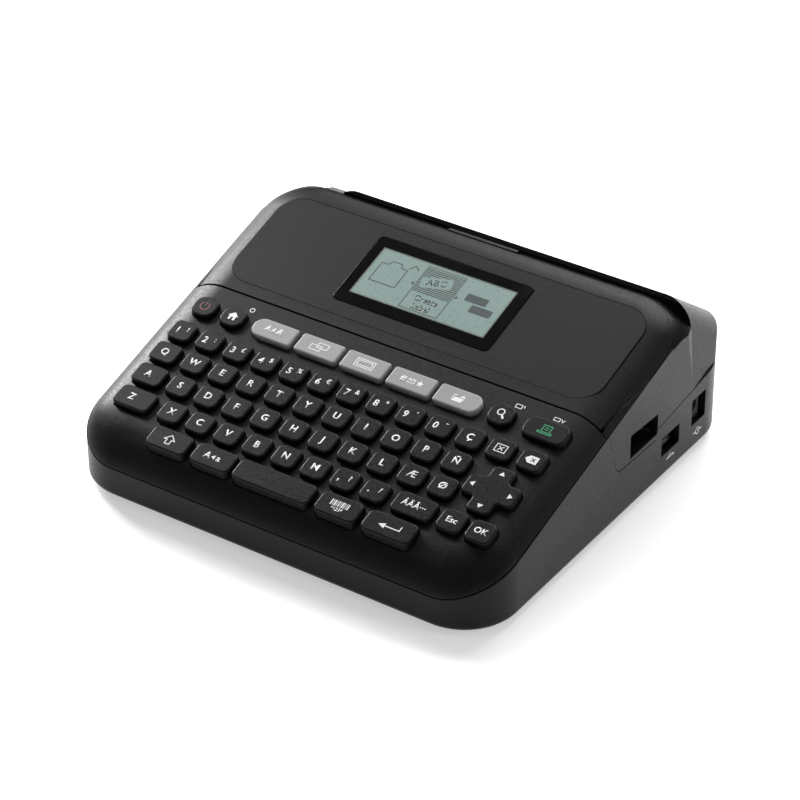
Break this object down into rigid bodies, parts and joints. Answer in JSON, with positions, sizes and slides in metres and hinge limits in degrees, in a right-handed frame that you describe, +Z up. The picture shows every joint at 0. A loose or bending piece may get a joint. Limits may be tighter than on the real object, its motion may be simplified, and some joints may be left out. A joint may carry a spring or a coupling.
{
  "type": "label maker",
  "caption": "Desktop label maker with sloping keyboard, display hood, hinged rear cover, label cutter lever and printing mechanism inside.",
  "frame": {"origin": "centre of the footprint, on the surface the rubber feet stand on", "axes": "+X to the user's right, +Y away from the user, +Z up"},
  "size_m": [0.189, 0.178, 0.0688],
  "materials": {
    "case_plastic": "satin, very fine grain",
    "panel_plastic": "satin, fine grain",
    "housing_plastic": "satin, fine grain",
    "inlay_plastic": "matte, fine grain",
    "lens": "polished",
    "display": "matte reflective display",
    "key_black": "satin",
    "key_grey": "satin",
    "rubber": "matte",
    "silicone": "matte",
    "circuit_board": "solder mask",
    "steel": "plain",
    "contact_metal": "plated",
    "gear_plastic": "plain",
    "roller_rubber": "ground",
    "frame_steel": "zinc plated",
    "ceramic": "glazed",
    "cell_jacket": "printed film",
    "cassette_plastic": "plain",
    "tape": "laminated film",
    "holder_plastic": "plain"
  },
  "bodies": {
    "housing": {"bottom_case": "case_plastic", "keyboard_panel": "panel_plastic", "display_cover": "panel_plastic", "display_inlay": "inlay_plastic", "lcd_window": "lens", "lcd_module": "display", "key_mat": "silicone", "rear_housing": "housing_plastic", "hinge_pins": "steel", "main_board": "circuit_board", "usb_socket": "steel", "dc_jack": "holder_plastic", "battery_holder": "holder_plastic", "aa_cells": "cell_jacket", "battery_contacts": "contact_metal", "case_screws": "steel", "rubber_feet": "rubber", "drive_motor": "steel", "mech_chassis": "frame_steel", "fixed_blade": "steel", "tape_cassette": "cassette_plastic", "lever_spring": "steel"},
    "cover": {"rear_cover": "housing_plastic"},
    "latch": {"cover_latch": "key_black"},
    "head": {"head_carrier": "frame_steel", "print_head": "ceramic"},
    "platen": {"platen_roller": "roller_rubber", "platen_gear": "gear_plastic"},
    "idler": {"idler_gear": "gear_plastic"},
    "reducer": {"reducer_gear": "gear_plastic"},
    "pinion": {"motor_pinion": "contact_metal"},
    "ribbon_drive": {"ribbon_spindle": "gear_plastic", "ribbon_spool": "holder_plastic"},
    "tape_reel": {"tape_spool": "tape"},
    "lever": {"cutter_lever": "key_black"},
    "blade": {"cutter_blade": "steel"},
    "accent_key": {"accent_key": "key_black"},
    "backspace_key": {"backspace_key": "key_black"},
    "bottom_letter_keys": {"bottom_letter_keys": "key_black"},
    "caps_key": {"caps_key": "key_black"},
    "clear_key": {"clear_key": "key_black"},
    "cursor_pad": {"cursor_pad": "key_black"},
    "enter_key": {"enter_key": "key_black"},
    "escape_key": {"escape_key": "key_black"},
    "home_key": {"home_key": "key_black"},
    "home_letter_keys": {"home_letter_keys": "key_black"},
    "number_keys": {"number_keys": "key_black"},
    "ok_key": {"ok_key": "key_black"},
    "power_key": {"power_key": "key_black"},
    "preview_key": {"preview_key": "key_black"},
    "print_key": {"print_key": "key_black"},
    "shift_key": {"shift_key": "key_black"},
    "soft_key_1": {"soft_key_1": "key_grey"},
    "soft_key_2": {"soft_key_2": "key_grey"},
    "soft_key_3": {"soft_key_3": "key_grey"},
    "soft_key_4": {"soft_key_4": "key_grey"},
    "soft_key_5": {"soft_key_5": "key_grey"},
    "space_key": {"space_key": "key_black"},
    "symbol_key": {"symbol_key": "key_black"},
    "top_letter_keys": {"top_letter_keys": "key_black"}
  },
  "joints": [
    {"name": "cover_hinge", "type": "hinge", "parent": "housing", "child": "cover", "pos_m": [0, 0.087, 0.0122], "axis": [-1, 0, 0], "range_deg": [0, 95]},
    {"name": "latch_press", "type": "slide", "parent": "housing", "child": "latch", "axis": [0, 0, -1], "range_m": [0, 0.0014], "stiffness_N_per_m": 600, "springref_m": -0.0008},
    {"name": "head_swing", "type": "hinge", "parent": "housing", "child": "head", "pos_m": [-0.0366, 0.0568, 0.0516], "axis": [0, 1, 0], "range_deg": [0, 6]},
    {"name": "platen_spin", "type": "hinge", "parent": "housing", "child": "platen", "pos_m": [-0.0425, 0.06, 0.0396], "axis": [0, 1, 0], "continuous": true},
    {"name": "idler_spin", "type": "hinge", "parent": "housing", "child": "idler", "pos_m": [-0.02862, 0.06, 0.02305], "axis": [0, 1, 0], "continuous": true},
    {"name": "reducer_spin", "type": "hinge", "parent": "housing", "child": "reducer", "pos_m": [-0.01102, 0.06, 0.02305], "axis": [0, 1, 0], "continuous": true},
    {"name": "pinion_spin", "type": "hinge", "parent": "housing", "child": "pinion", "pos_m": [0.00702, 0.06, 0.01648], "axis": [0, 1, 0], "continuous": true},
    {"name": "ribbon_spin", "type": "hinge", "parent": "housing", "child": "ribbon_drive", "pos_m": [-0.02017, 0.06, 0.04118], "axis": [0, 1, 0], "continuous": true},
    {"name": "tape_reel_spin", "type": "hinge", "parent": "housing", "child": "tape_reel", "pos_m": [0.018, 0.06, 0.0298], "axis": [0, 1, 0], "continuous": true},
    {"name": "lever_press", "type": "hinge", "parent": "housing", "child": "lever", "pos_m": [-0.055, 0.06, 0.054], "axis": [-1, 0, 0], "range_deg": [0, 20], "stiffness_Nm_per_rad": 0.03, "springref_deg": -11.46},
    {"name": "blade_slide", "type": "slide", "parent": "housing", "child": "blade", "axis": [0, 0, -1], "range_m": [0, 0.0029]},
    {"name": "accent_key_press", "type": "slide", "parent": "housing", "child": "accent_key", "axis": [0, 0.2947, -0.9556], "range_m": [0, 0.0012], "stiffness_N_per_m": 400, "springref_m": -0.0003},
    {"name": "backspace_key_press", "type": "slide", "parent": "housing", "child": "backspace_key", "axis": [0, 0.2947, -0.9556], "range_m": [0, 0.0012], "stiffness_N_per_m": 400, "springref_m": -0.0003},
    {"name": "bottom_letter_keys_press", "type": "slide", "parent": "housing", "child": "bottom_letter_keys", "axis": [0, 0.2947, -0.9556], "range_m": [0, 0.0012], "stiffness_N_per_m": 900, "springref_m": -0.0003},
    {"name": "caps_key_press", "type": "slide", "parent": "housing", "child": "caps_key", "axis": [0, 0.2947, -0.9556], "range_m": [0, 0.0012], "stiffness_N_per_m": 400, "springref_m": -0.0003},
    {"name": "clear_key_press", "type": "slide", "parent": "housing", "child": "clear_key", "axis": [0, 0.2947, -0.9556], "range_m": [0, 0.0012], "stiffness_N_per_m": 400, "springref_m": -0.0003},
    {"name": "cursor_pad_press", "type": "slide", "parent": "housing", "child": "cursor_pad", "axis": [0, 0.2947, -0.9556], "range_m": [0, 0.0012], "stiffness_N_per_m": 400, "springref_m": -0.0003},
    {"name": "enter_key_press", "type": "slide", "parent": "housing", "child": "enter_key", "axis": [0, 0.2947, -0.9556], "range_m": [0, 0.0012], "stiffness_N_per_m": 400, "springref_m": -0.0003},
    {"name": "escape_key_press", "type": "slide", "parent": "housing", "child": "escape_key", "axis": [0, 0.2947, -0.9556], "range_m": [0, 0.0012], "stiffness_N_per_m": 400, "springref_m": -0.0003},
    {"name": "home_key_press", "type": "slide", "parent": "housing", "child": "home_key", "axis": [0, 0.2947, -0.9556], "range_m": [0, 0.0012], "stiffness_N_per_m": 400, "springref_m": -0.0003},
    {"name": "home_letter_keys_press", "type": "slide", "parent": "housing", "child": "home_letter_keys", "axis": [0, 0.2947, -0.9556], "range_m": [0, 0.0012], "stiffness_N_per_m": 900, "springref_m": -0.0003},
    {"name": "number_keys_press", "type": "slide", "parent": "housing", "child": "number_keys", "axis": [0, 0.2947, -0.9556], "range_m": [0, 0.0012], "stiffness_N_per_m": 900, "springref_m": -0.0003},
    {"name": "ok_key_press", "type": "slide", "parent": "housing", "child": "ok_key", "axis": [0, 0.2947, -0.9556], "range_m": [0, 0.0012], "stiffness_N_per_m": 400, "springref_m": -0.0003},
    {"name": "power_key_press", "type": "slide", "parent": "housing", "child": "power_key", "axis": [0, 0.2947, -0.9556], "range_m": [0, 0.0012], "stiffness_N_per_m": 400, "springref_m": -0.0003},
    {"name": "preview_key_press", "type": "slide", "parent": "housing", "child": "preview_key", "axis": [0, 0.2947, -0.9556], "range_m": [0, 0.0012], "stiffness_N_per_m": 400, "springref_m": -0.0003},
    {"name": "print_key_press", "type": "slide", "parent": "housing", "child": "print_key", "axis": [0, 0.2947, -0.9556], "range_m": [0, 0.0012], "stiffness_N_per_m": 400, "springref_m": -0.0003},
    {"name": "shift_key_press", "type": "slide", "parent": "housing", "child": "shift_key", "axis": [0, 0.2947, -0.9556], "range_m": [0, 0.0012], "stiffness_N_per_m": 400, "springref_m": -0.0003},
    {"name": "soft_key_1_press", "type": "slide", "parent": "housing", "child": "soft_key_1", "axis": [0, 0.2947, -0.9556], "range_m": [0, 0.0012], "stiffness_N_per_m": 400, "springref_m": -0.0003},
    {"name": "soft_key_2_press", "type": "slide", "parent": "housing", "child": "soft_key_2", "axis": [0, 0.2947, -0.9556], "range_m": [0, 0.0012], "stiffness_N_per_m": 400, "springref_m": -0.0003},
    {"name": "soft_key_3_press", "type": "slide", "parent": "housing", "child": "soft_key_3", "axis": [0, 0.2947, -0.9556], "range_m": [0, 0.0012], "stiffness_N_per_m": 400, "springref_m": -0.0003},
    {"name": "soft_key_4_press", "type": "slide", "parent": "housing", "child": "soft_key_4", "axis": [0, 0.2947, -0.9556], "range_m": [0, 0.0012], "stiffness_N_per_m": 400, "springref_m": -0.0003},
    {"name": "soft_key_5_press", "type": "slide", "parent": "housing", "child": "soft_key_5", "axis": [0, 0.2947, -0.9556], "range_m": [0, 0.0012], "stiffness_N_per_m": 400, "springref_m": -0.0003},
    {"name": "space_key_press", "type": "slide", "parent": "housing", "child": "space_key", "axis": [0, 0.2947, -0.9556], "range_m": [0, 0.0012], "stiffness_N_per_m": 400, "springref_m": -0.0003},
    {"name": "symbol_key_press", "type": "slide", "parent": "housing", "child": "symbol_key", "axis": [0, 0.2947, -0.9556], "range_m": [0, 0.0012], "stiffness_N_per_m": 400, "springref_m": -0.0003},
    {"name": "top_letter_keys_press", "type": "slide", "parent": "housing", "child": "top_letter_keys", "axis": [0, 0.2947, -0.9556], "range_m": [0, 0.0012], "stiffness_N_per_m": 900, "springref_m": -0.0003}
  ],
  "couplings": [
    {"joint": "head_swing", "follows": "cover_hinge", "ratio": 0.063},
    {"joint": "idler_spin", "follows": "platen_spin", "ratio": -0.8},
    {"joint": "reducer_spin", "follows": "platen_spin", "ratio": 1.7143},
    {"joint": "pinion_spin", "follows": "platen_spin", "ratio": -5.1429},
    {"joint": "ribbon_spin", "follows": "platen_spin", "ratio": 1.2},
    {"joint": "tape_reel_spin", "follows": "platen_spin", "ratio": 0.28},
    {"joint": "blade_slide", "follows": "lever_press", "m_per_rad": 0.00796}
  ]
}
